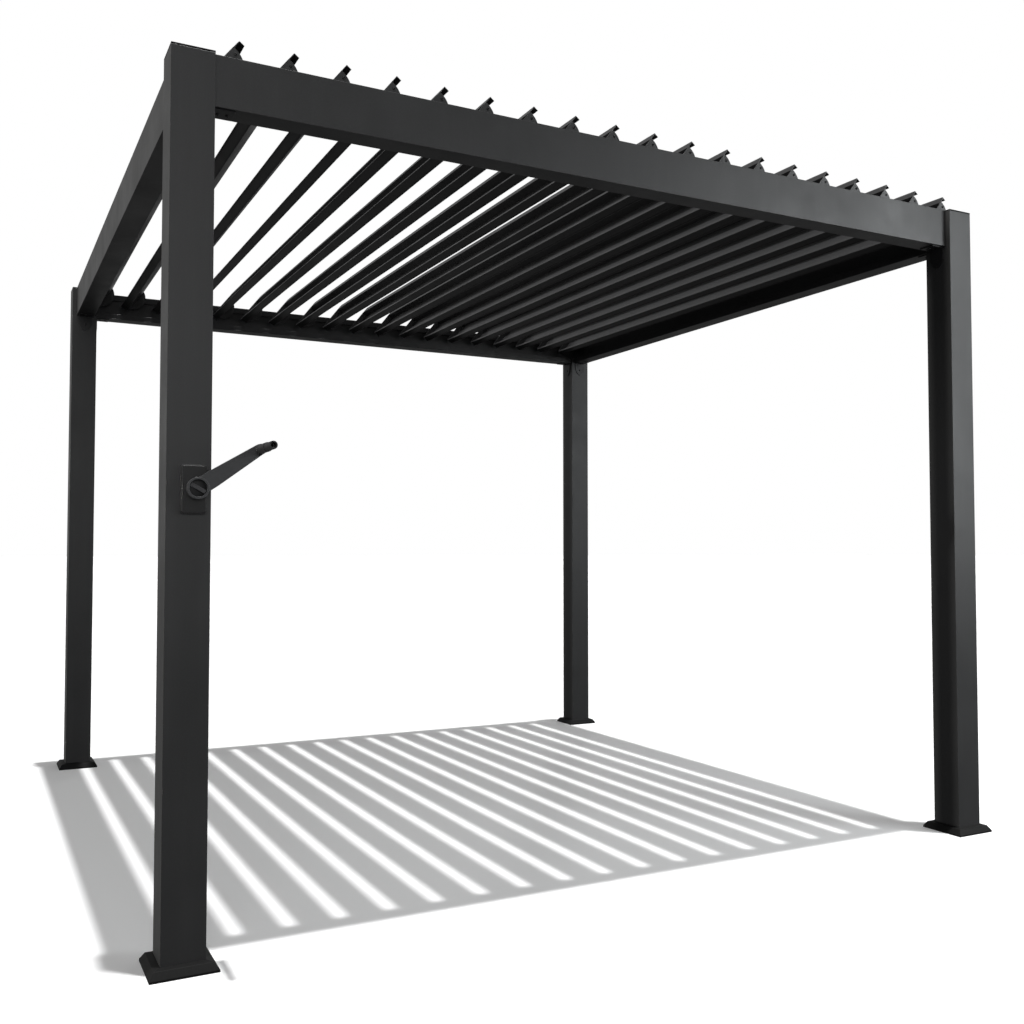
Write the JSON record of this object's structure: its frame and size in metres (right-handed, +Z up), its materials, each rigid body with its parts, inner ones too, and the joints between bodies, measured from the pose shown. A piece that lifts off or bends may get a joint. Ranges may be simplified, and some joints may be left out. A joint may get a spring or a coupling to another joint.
{
  "type": "louvered pergola",
  "caption": "Free-standing pergola with square posts, gutter beams and a roof of tilting channel-section louvers turned together by a hand crank on one post.",
  "frame": {"origin": "on the ground at the centre of the four posts", "axes": "+X to the right along the front, where the crank is on the left post; +Y from front to back, along the louvers; +Z up"},
  "size_m": [3.06, 3.148, 2.4532],
  "materials": {
    "frame_paint": "satin charcoal powder coat",
    "louver_paint": "satin charcoal powder coat",
    "foot_cover_paint": "satin charcoal powder coat",
    "bracket_paint": "satin near-black paint",
    "black_trim": "matt black",
    "rail_plastic": "matt dark grey",
    "link_metal": "mill finish",
    "crank_paint": "satin charcoal paint",
    "plate_plastic": "satin black",
    "grip_plastic": "matt dark grey"
  },
  "bodies": {
    "frame": {"post_front_left": "frame_paint", "post_front_right": "frame_paint", "post_back_left": "frame_paint", "post_back_right": "frame_paint", "cap_front_left": "black_trim", "cap_front_right": "black_trim", "cap_back_left": "black_trim", "cap_back_right": "black_trim", "foot_cover_front_left": "foot_cover_paint", "foot_cover_front_right": "foot_cover_paint", "foot_cover_back_left": "foot_cover_paint", "foot_cover_back_right": "foot_cover_paint", "bracket_front_left": "bracket_paint", "bracket_front_right": "bracket_paint", "bracket_back_left": "bracket_paint", "bracket_back_right": "bracket_paint", "beam_front": "frame_paint", "beam_back": "frame_paint", "beam_left": "frame_paint", "beam_right": "frame_paint", "gutter_floor_front": "frame_paint", "gutter_floor_back": "frame_paint", "gutter_floor_left": "frame_paint", "gutter_floor_right": "frame_paint", "gutter_lip_front": "frame_paint", "gutter_lip_back": "frame_paint", "gutter_lip_left": "frame_paint", "gutter_lip_right": "frame_paint", "pivot_rail_front": "rail_plastic", "pivot_rail_back": "rail_plastic", "crank_plate": "plate_plastic"},
    "louver_01": {"louver_01": "louver_paint"},
    "louver_02": {"louver_02": "louver_paint"},
    "louver_03": {"louver_03": "louver_paint"},
    "louver_04": {"louver_04": "louver_paint"},
    "louver_05": {"louver_05": "louver_paint"},
    "louver_06": {"louver_06": "louver_paint"},
    "louver_07": {"louver_07": "louver_paint"},
    "louver_08": {"louver_08": "louver_paint"},
    "louver_09": {"louver_09": "louver_paint"},
    "louver_10": {"louver_10": "louver_paint"},
    "louver_11": {"louver_11": "louver_paint"},
    "louver_12": {"louver_12": "louver_paint"},
    "louver_13": {"louver_13": "louver_paint"},
    "louver_14": {"louver_14": "louver_paint"},
    "louver_15": {"louver_15": "louver_paint"},
    "louver_16": {"louver_16": "louver_paint"},
    "louver_17": {"louver_17": "louver_paint"},
    "louver_18": {"louver_18": "louver_paint"},
    "louver_19": {"louver_19": "louver_paint"},
    "link_bar": {"link_bar": "link_metal"},
    "crank": {"crank_arm": "crank_paint"},
    "grip": {"crank_grip": "grip_plastic"}
  },
  "joints": [
    {"name": "crank_turn", "type": "hinge", "parent": "frame", "child": "crank", "pos_m": [-1.425, -1.489, 1.227], "axis": [0, -1, 0], "range_deg": [-1225, 950]},
    {"name": "louver_01_tilt", "type": "hinge", "parent": "frame", "child": "louver_01", "pos_m": [-1.362, 0, 2.375], "axis": [0, -1, 0], "range_deg": [-49, 38]},
    {"name": "louver_02_tilt", "type": "hinge", "parent": "frame", "child": "louver_02", "pos_m": [-1.20994, 0, 2.375], "axis": [0, -1, 0], "range_deg": [-49, 38]},
    {"name": "louver_03_tilt", "type": "hinge", "parent": "frame", "child": "louver_03", "pos_m": [-1.05789, 0, 2.375], "axis": [0, -1, 0], "range_deg": [-49, 38]},
    {"name": "louver_04_tilt", "type": "hinge", "parent": "frame", "child": "louver_04", "pos_m": [-0.90583, 0, 2.375], "axis": [0, -1, 0], "range_deg": [-49, 38]},
    {"name": "louver_05_tilt", "type": "hinge", "parent": "frame", "child": "louver_05", "pos_m": [-0.75378, 0, 2.375], "axis": [0, -1, 0], "range_deg": [-49, 38]},
    {"name": "louver_06_tilt", "type": "hinge", "parent": "frame", "child": "louver_06", "pos_m": [-0.60172, 0, 2.375], "axis": [0, -1, 0], "range_deg": [-49, 38]},
    {"name": "louver_07_tilt", "type": "hinge", "parent": "frame", "child": "louver_07", "pos_m": [-0.44967, 0, 2.375], "axis": [0, -1, 0], "range_deg": [-49, 38]},
    {"name": "louver_08_tilt", "type": "hinge", "parent": "frame", "child": "louver_08", "pos_m": [-0.29761, 0, 2.375], "axis": [0, -1, 0], "range_deg": [-49, 38]},
    {"name": "louver_09_tilt", "type": "hinge", "parent": "frame", "child": "louver_09", "pos_m": [-0.14556, 0, 2.375], "axis": [0, -1, 0], "range_deg": [-49, 38]},
    {"name": "louver_10_tilt", "type": "hinge", "parent": "frame", "child": "louver_10", "pos_m": [0.0065, 0, 2.375], "axis": [0, -1, 0], "range_deg": [-49, 38]},
    {"name": "louver_11_tilt", "type": "hinge", "parent": "frame", "child": "louver_11", "pos_m": [0.15856, 0, 2.375], "axis": [0, -1, 0], "range_deg": [-49, 38]},
    {"name": "louver_12_tilt", "type": "hinge", "parent": "frame", "child": "louver_12", "pos_m": [0.31061, 0, 2.375], "axis": [0, -1, 0], "range_deg": [-49, 38]},
    {"name": "louver_13_tilt", "type": "hinge", "parent": "frame", "child": "louver_13", "pos_m": [0.46267, 0, 2.375], "axis": [0, -1, 0], "range_deg": [-49, 38]},
    {"name": "louver_14_tilt", "type": "hinge", "parent": "frame", "child": "louver_14", "pos_m": [0.61472, 0, 2.375], "axis": [0, -1, 0], "range_deg": [-49, 38]},
    {"name": "louver_15_tilt", "type": "hinge", "parent": "frame", "child": "louver_15", "pos_m": [0.76678, 0, 2.375], "axis": [0, -1, 0], "range_deg": [-49, 38]},
    {"name": "louver_16_tilt", "type": "hinge", "parent": "frame", "child": "louver_16", "pos_m": [0.91883, 0, 2.375], "axis": [0, -1, 0], "range_deg": [-49, 38]},
    {"name": "louver_17_tilt", "type": "hinge", "parent": "frame", "child": "louver_17", "pos_m": [1.07089, 0, 2.375], "axis": [0, -1, 0], "range_deg": [-49, 38]},
    {"name": "louver_18_tilt", "type": "hinge", "parent": "frame", "child": "louver_18", "pos_m": [1.22294, 0, 2.375], "axis": [0, -1, 0], "range_deg": [-49, 38]},
    {"name": "louver_19_tilt", "type": "hinge", "parent": "frame", "child": "louver_19", "pos_m": [1.375, 0, 2.375], "axis": [0, -1, 0], "range_deg": [-49, 38]},
    {"name": "link_bar_pivot", "type": "hinge", "parent": "louver_01", "child": "link_bar", "pos_m": [-1.35688, -1.435, 2.33331], "axis": [0, -1, 0], "range_deg": [-38, 49]},
    {"name": "grip_spin", "type": "hinge", "parent": "crank", "child": "grip", "pos_m": [-1.26771, -1.56, 1.33269], "axis": [0, -1, 0], "continuous": true}
  ],
  "couplings": [
    {"joint": "louver_01_tilt", "follows": "crank_turn", "ratio": 0.04},
    {"joint": "louver_02_tilt", "follows": "crank_turn", "ratio": 0.04},
    {"joint": "louver_03_tilt", "follows": "crank_turn", "ratio": 0.04},
    {"joint": "louver_04_tilt", "follows": "crank_turn", "ratio": 0.04},
    {"joint": "louver_05_tilt", "follows": "crank_turn", "ratio": 0.04},
    {"joint": "louver_06_tilt", "follows": "crank_turn", "ratio": 0.04},
    {"joint": "louver_07_tilt", "follows": "crank_turn", "ratio": 0.04},
    {"joint": "louver_08_tilt", "follows": "crank_turn", "ratio": 0.04},
    {"joint": "louver_09_tilt", "follows": "crank_turn", "ratio": 0.04},
    {"joint": "louver_10_tilt", "follows": "crank_turn", "ratio": 0.04},
    {"joint": "louver_11_tilt", "follows": "crank_turn", "ratio": 0.04},
    {"joint": "louver_12_tilt", "follows": "crank_turn", "ratio": 0.04},
    {"joint": "louver_13_tilt", "follows": "crank_turn", "ratio": 0.04},
    {"joint": "louver_14_tilt", "follows": "crank_turn", "ratio": 0.04},
    {"joint": "louver_15_tilt", "follows": "crank_turn", "ratio": 0.04},
    {"joint": "louver_16_tilt", "follows": "crank_turn", "ratio": 0.04},
    {"joint": "louver_17_tilt", "follows": "crank_turn", "ratio": 0.04},
    {"joint": "louver_18_tilt", "follows": "crank_turn", "ratio": 0.04},
    {"joint": "louver_19_tilt", "follows": "crank_turn", "ratio": 0.04},
    {"joint": "link_bar_pivot", "follows": "crank_turn", "ratio": -0.04}
  ]
}
